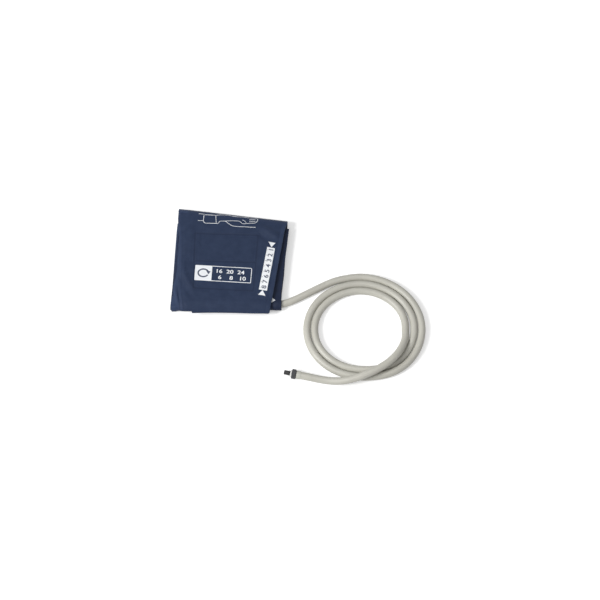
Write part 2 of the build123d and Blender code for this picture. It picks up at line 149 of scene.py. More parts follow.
def moulded_material(name, colour, rough, bump=0.15, scale=900.0, coat=0.0, light=None):
    """Moulded rubber or plastic with a fine skin and slight cloudiness."""
    made, shader, node, join = material(name)
    place = node("ShaderNodeTexCoord")
    cloud = node("ShaderNodeTexNoise", Scale=38.0, Detail=4.0)
    skin = node("ShaderNodeTexNoise", Scale=scale, Detail=3.0, Roughness=0.65)
    for n in (cloud, skin):
        join(place, "Object", n, "Vector")
    other = light or tuple(c * 1.18 for c in colour)
    tint = ramp(node, colour, other, 0.3, 0.7)
    join(cloud, "Fac", tint, "Fac")
    join(tint, "Color", shader, "Base Color")
    worn = node("ShaderNodeMapRange")
    worn.inputs["To Min"].default_value = rough - 0.06
    worn.inputs["To Max"].default_value = rough + 0.08
    join(skin, "Fac", worn, "Value")
    join(worn, "Result", shader, "Roughness")
    relief = node("ShaderNodeBump", Strength=bump, Distance=0.00008)
    join(skin, "Fac", relief, "Height")
    join(relief, "Normal", shader, "Normal")
    shader.inputs["Coat Weight"].default_value = coat
    return made


NAVY = (0.012, 0.0235, 0.0585)
NAVY_LIGHT = (0.0185, 0.032, 0.072)
# Paler navy painted where the cloth catches the lamp: a painted highlight along the flap's edges, and on
# the body cover's bare left strip and rear fold, out of its painted shade.
NAVY_PAINTED_LIGHT = (0.026, 0.042, 0.090)
NAVY_SEAM = (0.006, 0.013, 0.036)
# The body cover's navy: the same cloth as the flap, darkened as painted shade of the flap lying over it.
NAVY_SHADED = (0.004, 0.010, 0.031)
NAVY_SHADED_LIGHT = (0.007, 0.014, 0.040)
nylon = cloth_material(
    "nylon_cover", NAVY, NAVY_LIGHT, 0.42, 0.35, border=NAVY_PAINTED_LIGHT, seam=NAVY_SEAM
)
# Painted shade: the body cover takes the darkened navy, which stands in for the flap's shadow on it.
nylon_painted_shade = cloth_material(
    "nylon_cover_body", NAVY_SHADED, NAVY_SHADED_LIGHT, 0.42, 0.35, border=NAVY_PAINTED_LIGHT
)
lining_cloth = cloth_material(
    "nylon_lining", (0.012, 0.021, 0.052), (0.016, 0.027, 0.062), 0.34, 0.3
)
loop_pile = cloth_material(
    "loop_tape", (0.012, 0.019, 0.043), (0.020, 0.029, 0.060), 0.8, 0.9, 0.85, 0.25
)
hook_plastic = moulded_material("hook_tape", (0.020, 0.030, 0.062), 0.42)
film = moulded_material("bladder_film", (0.055, 0.055, 0.06), 0.38)
hose_rubber = moulded_material(
    "hose_rubber", (0.455, 0.445, 0.395), 0.42, 0.2, 700.0, light=(0.51, 0.50, 0.445)
)
ferrule_rubber = moulded_material("ferrule_rubber", (0.458, 0.458, 0.41), 0.5, 0.2, 700.0)
black_plastic = moulded_material("plug_plastic", (0.010, 0.010, 0.011), 0.32, 0.12)
ring_plastic = moulded_material("ring_plastic", (0.040, 0.042, 0.047), 0.42, 0.2)
port_plastic = moulded_material("port_plastic", (0.08, 0.08, 0.085), 0.45)
seal_rubber = moulded_material("seal_rubber", (0.72, 0.72, 0.70), 0.4, 0.1)
o_ring_rubber = moulded_material("o_ring_rubber", (0.008, 0.008, 0.008), 0.25, 0.05)
white_ink = moulded_material(
    "white_ink", (0.74, 0.76, 0.79), 0.5, 0.35, 2400.0, light=(0.82, 0.84, 0.86)
)
dark_ink = moulded_material("dark_ink", (0.045, 0.058, 0.095), 0.5, 0.2, 2400.0)

for cad_node, made in {
    "bladder_port": port_plastic,
    "hose_ferrule": ferrule_rubber,
    "plug_body": black_plastic,
    "plug_seal": seal_rubber,
    "plug_o_ring": o_ring_rubber,
    "lock_ring": ring_plastic,
}.items():
    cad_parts[cad_node].data.materials.clear()
    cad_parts[cad_node].data.materials.append(made)


# ---------------------------------------------------------------- the folded strip's main lines, in mm
WIDTH = 120
HALF_WIDTH = WIDTH / 2
FRONT_MIDDLE, FRONT_SKEW = -45.85, 9.9  # y of the front fold at x = 0, and its rise over the width
REAR_MIDDLE, REAR_SKEW = 57.5, -8.8
CLOTH = 0.5  # thickness
FRONT_RADIUS, REAR_RADIUS = 4.6, 6.0  # of the two folds, on the cover's outer face
HEAD_LEVEL = 2 * FRONT_RADIUS  # top of the head panel
FLAP_LEVEL = 2 * REAR_RADIUS  # top of the flap
HEAD_END = 49.5  # where the head panel ends, near the rear fold
REAR_BULGE = 0.7  # how far the loose cloth stands out at the rear fold


def front_y(x):
    """Centre line of the front fold, which lies askew."""
    return FRONT_MIDDLE + FRONT_SKEW * x / WIDTH


def rear_y(x):
    """Centre line of the rear fold, where the flap starts."""
    return REAR_MIDDLE + REAR_SKEW * x / WIDTH


# ---------------------------------------------------------------- the hose, from the port to the plug
HOSE_RADIUS = 4.0
LEAD = [
    (48.0, front_y(48.0), 4.6),
    (57.5, -41.7, 4.5),
    (66.5, -38.4, 4.0),
    (75.5, -33.4, 4.0),
    (85.0, -27.6, 4.0),
    (95.0, -21.4, 4.0),
    (105.5, -14.9, 4.0),
    (116.3, -9.2, 4.0),
]
TAIL = [
    (194.9, -72.4, 5.4),
    (193.1, -80.9, 8.6),
    (190.0, -88.9, 11.4),
    (185.9, -96.2, 13.4),
    (180.6, -102.8, 14.5),
    (174.2, -108.8, 14.5),
    (166.6, -114.2, 14.5),
    (158.4, -118.9, 14.4),
    (149.6, -123.0, 13.4),
    (140.2, -126.0, 11.0),
    (130.6, -127.6, 8.2),
    (120.8, -127.6, 5.8),
    (111.4, -126.6, 4.4),
    (102.0, -125.4, 4.6),
    (93.16, -124.07, 5.35),
    (80.8, -122.2, 5.35),
]
COIL_CENTRE = (148.7, -64.4)
COIL_START = -20  # degrees, clockwise from the y axis
COIL_RADIUS, COIL_PITCH = 63.9, 8.3  # its radius at 0 degrees, and what it loses in a turn
OVAL, OVAL_ASKEW = 2.34, 0.42  # wider along the x axis, and down to the right
COIL_DENTS = (  # where in degrees, how wide, and how far out
    (105, 25, -0.5), (170, 28, -1.6), (243, 28, 0.8), (318, 26, -1.0),
)
COIL_END, COIL_END_SPAN, COIL_END_PULL = 2.1, 0.17, 0.9  # where the last turn is drawn in
COIL_STEPS, COIL_POINTS = 36, 84


def coil_point(turn):
    """A point of the oval spiral, after so many turns from its start."""
    degrees = COIL_START + 360 * turn
    angle = math.radians(degrees)
    radius = COIL_RADIUS - COIL_PITCH * degrees / 360 - OVAL * math.cos(2 * angle)
    radius -= OVAL_ASKEW * math.sin(2 * angle)
    for at, width, out in COIL_DENTS:
        radius += out * math.exp(-(((degrees % 360 - at) / width) ** 2))
    radius -= COIL_END_PULL * max(0, (turn - COIL_END) / COIL_END_SPAN) ** 2
    x, y = COIL_CENTRE
    return (x + radius * math.sin(angle), y + radius * math.cos(angle), HOSE_RADIUS)


def make_hose():
    """One tube along the lead, the coil and the tail."""
    coil = [coil_point(k / COIL_STEPS) for k in range(COIL_POINTS)]
    route = LEAD + coil + TAIL
    data = bpy.data.curves.new("hose", "CURVE")
    data.dimensions = "3D"
    data.resolution_u = 6
    spline = data.splines.new("NURBS")
    spline.points.add(len(route) - 1)
    for point, place in zip(spline.points, route):
        point.co = (*(c * MM for c in place), 1)
    spline.order_u = 3
    spline.use_endpoint_u = True
    data.bevel_depth = HOSE_RADIUS * MM
    data.bevel_resolution = 7
    data.use_fill_caps = True
    data.materials.append(hose_rubber)
    return link(bpy.data.objects.new("hose", data))


hose = make_hose()
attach(hose, "body")
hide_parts("hose_lead", "hose_coil", "hose_tail")


# ---------------------------------------------------------------- surface relief
def soft_step(t):
    """0 up to t = 0, 1 from t = 1, and a smooth rise between them."""
    t = np.clip(t, 0, 1)
    return t * t * (3 - 2 * t)


def bell(offset, width):
    """1 in the middle, falling away on both sides."""
    return np.exp(-((offset / width) ** 2))


def inside_box(x, y, low, high, soft):
    """1 inside a rectangle, falling smoothly to 0 at its sides."""
    return (
        soft_step((x - low[0]) / soft)
        * soft_step((high[0] - x) / soft)
        * soft_step((y - low[1]) / soft)
        * soft_step((high[1] - y) / soft)
    )


def clouds(x, y, size, seed, octaves=2):
    """Smooth noise from -1 to 1, its lumps about size mm across."""
    flat_x, flat_y = np.broadcast_arrays(np.asarray(x, float), np.asarray(y, float))
    shape = flat_x.shape
    made = np.empty(flat_x.size)
    for k, (a, b) in enumerate(zip(flat_x.ravel(), flat_y.ravel())):
        value, gain, rate = 0.0, 1.0, 1.0 / size
        for _ in range(octaves):
            value += gain * noise.noise(Vector((a * rate, b * rate, seed)))
            gain, rate = gain * 0.45, rate * 2.1
        made[k] = value
    return made.reshape(shape)


def line_distance(x, y, a, b):
    """Distance to the stretch from a to b, and how far along it the nearest point is, 0 to 1."""
    ax, ay, bx, by = *a, *b
    dx, dy = bx - ax, by - ay
    length = math.hypot(dx, dy)
    t = np.clip(((x - ax) * dx + (y - ay) * dy) / length**2, 0, 1)
    return np.hypot(x - (ax + t * dx), y - (ay + t * dy)), t


def ridge(x, y, points, height, width):
    """A rounded ridge along a line of points, dying out at both ends. Below 0 it is a valley."""
    made = 0
    stretches = list(zip(points, points[1:]))
    near = np.full(np.broadcast(x, y).shape, 1e9)
    for k, (a, b) in enumerate(stretches):
        d, t = line_distance(x, y, a, b)
        along = (k + t) / len(stretches)
        shape = height * bell(d, width) * np.sin(np.pi * np.clip(along, 0.04, 0.96))
        made = np.where(d < near, shape, made)
        near = np.minimum(near, d)
    return made


def rear_wave(x):
    """The waves along the rear fold, the same on every cloth that goes round it."""
    return 0.22 * clouds(x, 0 * x, 14, 9.9)


# ---------------------------------------------------------------- shape of the flap and its tab
FLAP_LEFT = [  # y, then x
    (66, -61.7), (54, -61.4), (44, -60.3), (35.4, -58.6), (9, -56.0),
    (-6, -55.0), (-26, -53.9), (-40, -51.8), (-53, -49.0), (-60, -48.6),
]
FLAP_RIGHT = [
    (60, 60.4), (53, 59.3), (44, 57.5), (9, 54.0), (-10, 52.1),
    (-27, 50.5), (-35, 49.7), (-45, 48.2), (-56, 47.6),
]
TAB_STEP, TAB_STEP_Y = -36.2, -57.3  # the tab's end is shorter on the left of its step
TAB_END = [(TAB_STEP, -59.6), (-20, -58.2), (2, -57.0), (25, -56.3), (47.6, -55.5)]
TAB_SIDES = (-48.7, 47.6)
TAB_CORNER, STEP_CORNER = 1.8, 1.4  # radii
PATCH = [(-40.5, 36.6), (29.3, 38.4), (28.7, -30.1), (-36.5, -30.0)]  # welded round the hooks
SEAMS = [(PATCH[k], PATCH[(k + 1) % 4]) for k in range(4)] + [((-38.5, 3.0), (29.0, 4.7))]
PATCH_LOW = (PATCH[3][0] - 2, PATCH[2][1] - 2)
PATCH_HIGH = (PATCH[1][0] + 2, PATCH[1][1] + 2)
HELD_LOW, HELD_HIGH = (-42, -34), (33, 41)  # where the hook strips keep the underside flat
SIDE_WELD = 4.6  # from the right edge to the weld line beside it
WRINKLES = [  # line, height (a valley has it below 0) and width
    ([(27, 51), (36, 46), (47, 39.5), (57, 31)], 1.4, 4.2),
    ([(26, 42), (34, 36.5), (43, 29.5)], -0.7, 3.0),
    ([(-52.5, 2), (-48.3, -13), (-41.6, -24.5), (-33, -40)], 1.15, 3.0),
    ([(-56, -10), (-51.5, -22), (-45, -33), (-38, -43)], -0.45, 2.4),
    ([(-41, 43), (-46.3, 34), (-52, 18), (-56, 2)], 0.55, 4.0),
    ([(-20, 46), (0, 44.5), (22, 43)], 0.30, 3.5),
    ([(-30, -37), (0, -36), (30, -37)], -0.22, 3.0),
    ([(44, -6), (43, -24), (40, -44)], 0.35, 4.5),
]


def flap_left(y):
    ys, xs = zip(*reversed(FLAP_LEFT))
    return np.interp(y, ys, xs)


def flap_right(y):
    ys, xs = zip(*reversed(FLAP_RIGHT))
    return np.interp(y, ys, xs)


def tab_y(x):
    """Line on which the pull tab is welded to the flap, and folds."""
    return -42.4 + 0.044 * x


def corner_pull(from_side, radius):
    """How far a rounded corner draws the end back, at a distance from its side."""
    into = np.clip(radius - from_side, 0, radius)
    return radius - np.sqrt(np.maximum(radius * radius - into * into, 0))


def end_y(x):
    """The stepped end of the pull tab, with its corners rounded."""
    x = np.asarray(x, float)
    y = np.where(x < TAB_STEP, TAB_STEP_Y, np.interp(x, *zip(*TAB_END)))
    for side in TAB_SIDES:
        y = y + corner_pull(np.abs(x - side), TAB_CORNER)
    return y + corner_pull(x - TAB_STEP, STEP_CORNER) * (x >= TAB_STEP)


def smooth_relief(x, y):
    """The flap's soft forms, in mm above its flat level."""
    from_left, from_right = x - flap_left(y), flap_right(y) - x
    patch = inside_box(x, y, PATCH_LOW, PATCH_HIGH, 6)
    z = (1 - patch) * (0.40 + 0.50 * clouds(x, y, 26, 3.1) + 0.16 * clouds(x, y, 9, 7.7))
    z = z + patch * (0.14 + 0.16 * clouds(x, y, 20, 5.3) + 0.05 * clouds(x, y, 7, 2.9))
    for line, height, width in WRINKLES:
        z = z + ridge(x, y, line, height, width)
    off_rear = soft_step((52 - y) / 20)
    left_rim = 0.28 * bell(from_left - 2.2, 1.5) * off_rear
    left_droop = 0.95 * soft_step(1 - from_left / 7) * off_rear
    right_curl = 0.95 * soft_step(1 - from_right / 6) ** 1.5
    rear_left_dip = 1.1 * soft_step((-42 - x) / 20) * soft_step((y - 18) / 26)
    tab_droop = 1.3 * soft_step((-40 - y) / 17) ** 1.5
    z = z + left_rim - left_droop
    z = z + right_curl * soft_step((54 - y) / 12) * soft_step((y + 52) / 36)
    z = z - rear_left_dip - tab_droop
    settle = soft_step((rear_y(x) - y) / 9)
    return z * settle + rear_wave(x) * (1 - settle)


def weld_relief(x, y):
    """Welded lines pressed into the cloth, the patch's with a fainter line beside them."""
    z = 0 * x
    for a, b in SEAMS:
        d, _ = line_distance(x, y, a, b)
        z = z - 0.34 * bell(d, 0.9) - 0.10 * bell(d - 2.6, 0.8)
    side = 0.26 * bell(flap_right(y) - x - SIDE_WELD, 0.8) * soft_step((54 - y) / 4)
    return z - side - 0.14 * bell(y - tab_y(x) - 0.9, 0.8)


def flap_surface(x, y):
    """Outer face of the flap and tab, in mm."""
    return FLAP_LEVEL + smooth_relief(x, y) + weld_relief(x, y)


def flap_underside(x, y):
    """Inner face of the flap and tab, flat where the hook strips are welded on."""
    flat = inside_box(x, y, HELD_LOW, HELD_HIGH, 2.5)
    return FLAP_LEVEL - 2 * CLOTH + smooth_relief(x, y) * (1 - flat)


# ---------------------------------------------------------------- cloth meshes
def cloth_mesh(name, outer, inner, uv, materials, flip=False, **marks):
    """A closed cloth from two grids of points in mm: rows along the strip, columns across it.

    The first material is its outer face, the second its inner face. Each mark is a grid of
    values from 0 to 1 for the cloth's material to read.
    """
    rows, cols, _ = outer.shape
    n = rows * cols
    index = np.arange(n).reshape(rows, cols)
    ring = np.concatenate([index[0, :], index[1:, -1], index[-1, -2::-1], index[-2:0:-1, 0]])
    inward = np.concatenate([index[1, :], index[1:, -2], index[-2, -2::-1], index[-2:0:-1, 1]])
    flat_outer, flat_inner = outer.reshape(-1, 3), inner.reshape(-1, 3)
    middle = (flat_outer + flat_inner) / 2
    out = middle[ring] - middle[inward]
    out = out / np.maximum(np.linalg.norm(out, axis=1), 1e-9)[:, None]
    thick = np.linalg.norm(flat_outer[ring] - flat_inner[ring], axis=1)[:, None]
    rim = middle[ring] + out * thick * 0.22
    vertices = np.concatenate([flat_outer, flat_inner, rim]) * MM
    a, b, c, d = (index[:-1, :-1], index[:-1, 1:], index[1:, 1:], index[1:, :-1])
    top = np.stack([a, b, c, d], -1).reshape(-1, 4)
    under = np.stack([a, d, c, b], -1).reshape(-1, 4) + n
    following = np.roll(ring, -1)
    rim_index = 2 * n + np.arange(len(ring))
    rim_next = np.roll(rim_index, -1)
    upper = np.stack([following, ring, rim_index, rim_next], -1)
    lower = np.stack([rim_next, rim_index, ring + n, following + n], -1)
    parts = (top, under, upper, lower)
    faces = np.concatenate(parts)
    inner_side = np.concatenate([np.full(len(part), k % 2) for k, part in enumerate(parts)])
    if flip:
        faces = faces[:, ::-1]
    mesh = bpy.data.meshes.new(name)
    mesh.from_pydata(vertices.tolist(), [], faces.tolist())
    for used in materials:
        mesh.materials.append(used)
    mesh.polygons.foreach_set("material_index", inner_side.astype(np.int32))
    layer = mesh.uv_layers.new(name="cloth")
    flat_uv = uv.reshape(-1, 2)
    all_uv = np.concatenate([flat_uv, flat_uv + 0.003, flat_uv[ring]])
    loops = np.empty(len(mesh.loops), np.int32)
    mesh.loops.foreach_get("vertex_index", loops)
    layer.data.foreach_set("uv", (all_uv[loops] / 100).astype(np.float32).ravel())
    for mark, values in marks.items():
        flat = values.reshape(-1)
        on_points = np.concatenate([flat, flat * 0, flat[ring]]).astype(np.float32)
        mesh.attributes.new(mark, "FLOAT", "POINT").data.foreach_set("value", on_points)
    mesh.shade_smooth()
    mesh.set_sharp_from_angle(angle=math.radians(62))
    mesh.update()
    return link(bpy.data.objects.new(name, mesh))


def arc(centre, radius, start, end, count):
    a = np.radians(np.linspace(start, end, count))
    return np.stack([centre[0] + radius * np.cos(a), centre[1] + radius * np.sin(a)], -1)


def straight(a, b, count):
    return np.linspace(a, b, count)


def chain(*pieces):
    """Joins sampled pieces of a path, dropping each repeated point."""
    return np.concatenate([pieces[0], *(p[1:] for p in pieces[1:])])


def travelled(path):
    """Distance along each path from its end, negative, in mm."""
    steps = np.linalg.norm(np.diff(path, axis=0), axis=1)
    gone = np.concatenate([[0], np.cumsum(steps)])
    return gone - gone[-1]


def as_grid(x, paths):
    """Points of a cloth from one path for each column, and x for each column or each point."""
    wide_x = np.broadcast_to(np.reshape(x, (len(paths), -1)), paths.shape[:2])
    return np.stack([wide_x, paths[..., 0], paths[..., 1]], -1).transpose(1, 0, 2)


def strip_uv(grid, paths):
    return np.stack([grid[..., 0], np.stack([travelled(p) for p in paths], 1)], -1)


# ---------------------------------------------------------------- the strip's outer cover
HEAD_ROWS, FRONT_ROWS, BASE_ROWS, REAR_ROWS = 60, 16, 52, 20
FRONT_END = HEAD_ROWS + FRONT_ROWS
BASE_END = FRONT_END + BASE_ROWS
WELD_X = 52  # weld lines along both sides, from the middle
FLAT_LOW, FLAT_HIGH = (-49, -37.5), (45, 44)  # the head panel lies flat here, round the loop patch
LEFT_REACH = [  # y, and how far the head panel's left edge lies inside its straight line
    (-58, 1.8), (-50, 0.6), (-46, 0.1), (-26, -0.2), (12, -1.3), (40, -2.0), (67, -1.8),
]
RIGHT_REACH = [  # y, and how far the head panel's right edge stands out past its straight line
    (-46, -0.4), (-41, -0.6), (-35, -1.4), (-27, -1.4), (-20, -1.1), (-13, -0.8),
    (-5, -0.35), (3, -0.1), (20, 0.75), (30, 1.4), (38, 1.7), (49.5, 2.35),
]


def left_reach(y):
    return np.interp(y, *zip(*LEFT_REACH))


def right_reach(y):
    return np.interp(y, *zip(*RIGHT_REACH))


def cover_path(x, inset):
    """Section of the cover: head panel, front fold, base panel and rear fold."""
    yf, yr = front_y(x), rear_y(x)
    top = HEAD_LEVEL - inset
    return chain(
        straight((HEAD_END, top), (yf, top), HEAD_ROWS + 1),
        arc((yf, FRONT_RADIUS), FRONT_RADIUS - inset, 90, 270, FRONT_ROWS + 1),
        straight((yf, inset), (yr, inset), BASE_ROWS + 1),
        arc((yr, REAR_RADIUS), REAR_RADIUS - inset, -90, 90, REAR_ROWS + 1),
    )


def hose_swell(x, y):
    """The head panel lifted by the hose under it."""
    return 1.5 * soft_step((x - 46) / 10) * bell(y - front_y(x), 6)


def head_relief(x, y):
    """The head panel's soft forms, which leave the loop patch flat."""
    free = 1 - inside_box(x, y, FLAT_LOW, FLAT_HIGH, 2.5)
    padded = soft_step((WELD_X - np.abs(x)) / 5) * free
    return 0.45 * padded + free * 0.22 * clouds(x, y, 17, 1.7)


def head_edges(x, y):
    """The head panel's side welds, its raised front left corner and its low left edge."""
    ear = soft_step((-50 - x) / 9) * soft_step((-34 - y) / 16)
    crease = [(-58.5, -22), (-56.6, -34), (-52.5, -46), (-49, -56)]
    z = 0.7 * ear + ridge(x, y, crease, 1.2, 1.5)
    return z - 0.2 * bell(np.abs(x) - WELD_X, 0.8) - 0.9 * soft_step((-53.5 - x) / 7)


def front_relief(x, turn):
    """The front fold's soft forms, which die out over its lower half: turn goes from 0 to 1."""
    z = 0.25 * soft_step((WELD_X - np.abs(x)) / 8) + 0.2 * clouds(x, 0 * x, 15, 4.4)
    lift = 0.9 * soft_step((-50 - x) / 9) + hose_swell(x, front_y(x))
    return soft_step((1 - turn) / 0.5) * (z + lift * (1 - turn))


def make_cover():
    """The outer cover, from the head panel's end round both folds to where the flap starts."""
    columns = np.linspace(-HALF_WIDTH, HALF_WIDTH, 101)
    outer_paths = np.array([cover_path(x, 0.0) for x in columns])
    inner_paths = np.array([cover_path(x, CLOTH) for x in columns])
    normals = (outer_paths - inner_paths) / CLOTH
    y = outer_paths[..., 0]
    x = np.repeat(columns[:, None], y.shape[1], axis=1)
    row = np.broadcast_to(np.arange(y.shape[1]), y.shape)
    on_head = row <= HEAD_ROWS
    on_front = (row > HEAD_ROWS) & (row < FRONT_END)
    on_rear = row > BASE_END
    front_turn = np.clip((row - HEAD_ROWS) / FRONT_ROWS, 0, 1)
    rear_turn = np.clip((row - BASE_END) / REAR_ROWS, 0, 1)

    relief = on_head * (head_relief(x, y) + hose_swell(x, y) + head_edges(x, y))
    relief += on_front * front_relief(x, front_turn)
    relief += on_rear * soft_step((rear_turn - 0.25) / 0.75) * rear_wave(x)
    bulge = 0.5 + 1.4 * (x + HALF_WIDTH) / WIDTH - 0.6 * bell(x + WELD_X, 2.5)
    pushed = on_front * bulge * np.sin(np.pi * front_turn)
    pushed -= on_rear * REAR_BULGE * np.sin(np.pi * rear_turn)
    raised = outer_paths + normals * relief[..., None]
    under = inner_paths + normals * np.minimum(relief, 0)[..., None] * 0.5
    for paths in (raised, under):
        paths[..., 0] -= pushed

    reach = right_reach(y) + 0.3 * front_turn
    reach = np.where(on_head, reach, np.minimum(reach, 0))
    x = x + left_reach(y) * soft_step((-48 - x) / 12) + reach * soft_step((x - 48) / 12)
    outer, inner = as_grid(x, raised), as_grid(x, under)
    # Painted light: the body cover is painted paler on its bare left strip and, partly, on the rear fold.
    border = np.maximum(soft_step((-47 - outer[..., 0]) / 5.0), on_rear.T * 0.6)
    return cloth_mesh(
        "cover_body",
        outer,
        inner,
        strip_uv(outer, outer_paths),
        [nylon_painted_shade, lining_cloth],
        flip=True,
        border=border,
    )


cover_body = make_cover()
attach(cover_body, "body")
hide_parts("body_outer_cover")


# ---------------------------------------------------------------- lining and bladder inside the strip
HOSE_SIDE = 38  # from this x on, both turn behind the hose
HOSE_ROOM = 6.15
PAD_X = 46  # the bladder's half width, with its clearance
POUCH_HEAD, POUCH_BASE = 33, 10  # y of the bladder's ends in the head and the base panel
STEP_OVER = 4  # how long the lining takes from the bladder down to its weld


def inner_turn(x, reach, narrow):
    """Where a piece turns inside the front fold, half the distance of its arcs, and their radius."""
    if x < HOSE_SIDE:
        return front_y(x), 0.1, reach - 0.1
    return front_y(x) + HOSE_ROOM, reach - narrow, narrow


def turn_path(corner, apart, radius, count):
    """Round the turn, from the head panel's side to the base panel's."""
    high, low = FRONT_RADIUS + apart, FRONT_RADIUS - apart
    return chain(
        arc((corner, high), radius, 90, 180, count),
        straight((corner - radius, high), (corner - radius, low), 3),
        arc((corner, low), radius, 180, 270, count),
    )


def columns_through(stations, count):
    """Even columns from the first station to the last, and the stations themselves."""
    even = np.linspace(stations[0], stations[-1], count)
    return np.array(sorted(set(even) | set(stations)), float)


def across(stations, path, columns):
    """Straight rules between the stations, as cloth drawn from one to the next."""
    drawn = np.array([path(x) for x in stations])
    made = np.empty((len(columns), *drawn.shape[1:]))
    for k, x in enumerate(columns):
        j = min(np.searchsorted(stations, x, side="right") - 1, len(stations) - 2)
        t = (x - stations[j]) / (stations[j + 1] - stations[j])
        made[k] = drawn[j] * (1 - t) + drawn[j + 1] * t
    return made


LINING_STATIONS = [-HALF_WIDTH, -WELD_X, -PAD_X, 28, HOSE_SIDE, PAD_X, WELD_X, HALF_WIDTH]
POUCH_STATIONS = [-45.9, 28, HOSE_SIDE, 45.9]


def lining_path(x, depth):
    """Section of the lining, at a depth below its face on the cover's side."""
    reach, film_room = (3.5, 0.6) if abs(x) <= PAD_X else (4.1, 0.02)
    corner, apart, radius = inner_turn(x, reach, 2.0)
    weld, face = 4.1 - depth, reach - film_room - depth
    weld_high, weld_low = FRONT_RADIUS + weld, FRONT_RADIUS - weld
    high, low = FRONT_RADIUS + face, FRONT_RADIUS - face
    yr = rear_y(x)
    return chain(
        straight((HEAD_END, weld_high), (POUCH_HEAD + STEP_OVER, weld_high), 8),
        straight((POUCH_HEAD + STEP_OVER, weld_high), (POUCH_HEAD, high), 4),
        straight((POUCH_HEAD, high), (corner, high), 41),
        turn_path(corner, apart, radius - film_room - depth, 7),
        straight((corner, low), (POUCH_BASE, low), 29),
        straight((POUCH_BASE, low), (POUCH_BASE + STEP_OVER, weld_low), 4),
        straight((POUCH_BASE + STEP_OVER, weld_low), (yr, weld_low), 25),
        arc((yr, REAR_RADIUS), REAR_RADIUS - CLOTH - depth, -90, 90, 19),
    )


def make_lining():
    """The arm's side of the strip, drawn back behind the hose."""
    columns = columns_through(LINING_STATIONS, 61)
    back = across(LINING_STATIONS, lambda x: lining_path(x, 0.0), columns)
    face = across(LINING_STATIONS, lambda x: lining_path(x, CLOTH), columns)
    out = (face - back) / np.maximum(np.linalg.norm(face - back, axis=-1), 1e-6)[..., None]
    x = np.repeat(columns[:, None], face.shape[1], axis=1)
    upper_layer = face[..., 1] > FRONT_RADIUS
    puff = 0.10 * clouds(x, face[..., 0] + 200 * upper_layer, 15, 2.2)
    puff += 0.12 - 0.16 * bell(np.abs(x) - WELD_X, 0.9)
    outer, inner = as_grid(columns, face + out * puff[..., None]), as_grid(columns, back)
    uv = strip_uv(outer, back)
    for grid in (outer, inner):
        inward = np.minimum(right_reach(grid[..., 1]), 0)
        grid[..., 0] += inward * soft_step((grid[..., 0] - 48) / 12)
    return cloth_mesh("lining", outer, inner, uv, [lining_cloth, lining_cloth])


lining = make_lining()
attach(lining, "body")
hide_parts("body_inner_cover")


def pouch_outer(x):
    """Section of the bladder's face on the cover's side."""
    yf, reach = front_y(x), 4.08
    high, low = FRONT_RADIUS + reach, FRONT_RADIUS - reach
    return chain(
        straight((POUCH_HEAD, high), (yf, high), 31),
        arc((yf, FRONT_RADIUS), reach, 90, 270, 17),
        straight((yf, low), (POUCH_BASE, low), 21),
    )


def pouch_inner(x):
    """Section of the bladder's face on the lining's side."""
    corner, apart, radius = inner_turn(x, 2.9, 1.4)
    high, low = FRONT_RADIUS + 2.92, FRONT_RADIUS - 2.92
    return chain(
        straight((POUCH_HEAD, high), (corner, high), 31),
        turn_path(corner, apart, radius, 8),
        straight((corner, low), (POUCH_BASE, low), 21),
    )


def make_bladder():
    """The flat pouch between the cover and the lining."""
    columns = columns_through(POUCH_STATIONS, 24)
    outer_paths = across(POUCH_STATIONS, pouch_outer, columns)
    inner_paths = across(POUCH_STATIONS, pouch_inner, columns)
    outer, inner = as_grid(columns, outer_paths), as_grid(columns, inner_paths)
    uv = strip_uv(outer, outer_paths)
    return cloth_mesh("bladder", outer, inner, uv, [film, film], flip=True)


bladder = make_bladder()
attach(bladder, "body")
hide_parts("bladder_outer_film", "bladder_inner_film")


# ---------------------------------------------------------------- flap and pull tab
FLAP_COLUMNS = 151


def panel_grid(rows, cols, near, far):
    """x and y of a grid between two lines across the strip, its sides on the flap's edges."""
    share = np.linspace(0, 1, cols)[None, :]
    t = np.linspace(0, 1, rows)[:, None]
    x = WIDTH * share - HALF_WIDTH + 0 * t
    for _ in range(6):
        y = near(x) * (1 - t) + far(x) * t
        x = flap_left(y) * (1 - share) + flap_right(y) * share
    return x, near(x) * (1 - t) + far(x) * t


def panel(name, x, y, cad_nodes):
    """The flap or its tab, with a painted highlight along its edges and dark weld lines."""
    upper = np.stack([x, y, flap_surface(x, y)], -1)
    lower = np.stack([x, y, flap_underside(x, y)], -1)
    uv = np.stack([x, rear_y(x) - y], -1)
    from_left, from_right = x - flap_left(y), flap_right(y) - x
    # Painted highlight along the right weld strip, fading towards the front, and along the left edge.
    border = 0.2 * soft_step((SIDE_WELD - from_right) / 0.8) * soft_step((y + 45) / 60)
    border = border + 0.45 * soft_step((3.0 - from_left) / 1.2)
    seam = 0 * x
    for a, b in SEAMS:
        seam = np.maximum(seam, 0.5 * bell(line_distance(x, y, a, b)[0], 1.0))
    marks = {"border": np.clip(border, 0, 1), "seam": seam}
    made = cloth_mesh(name, upper, lower, uv, [nylon, lining_cloth], flip=True, **marks)
    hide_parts(*cad_nodes)
    return made


x, y = panel_grid(133, FLAP_COLUMNS, rear_y, tab_y)
cover_flap = panel("cover_flap", x, y, ["flap_outer_cover", "flap_inner_cover"])
x, y = panel_grid(22, FLAP_COLUMNS, tab_y, end_y)
cover_tab = panel("cover_tab", x, y, ["tab_outer_cover", "tab_inner_cover"])
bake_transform(cover_flap)
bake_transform(cover_tab)


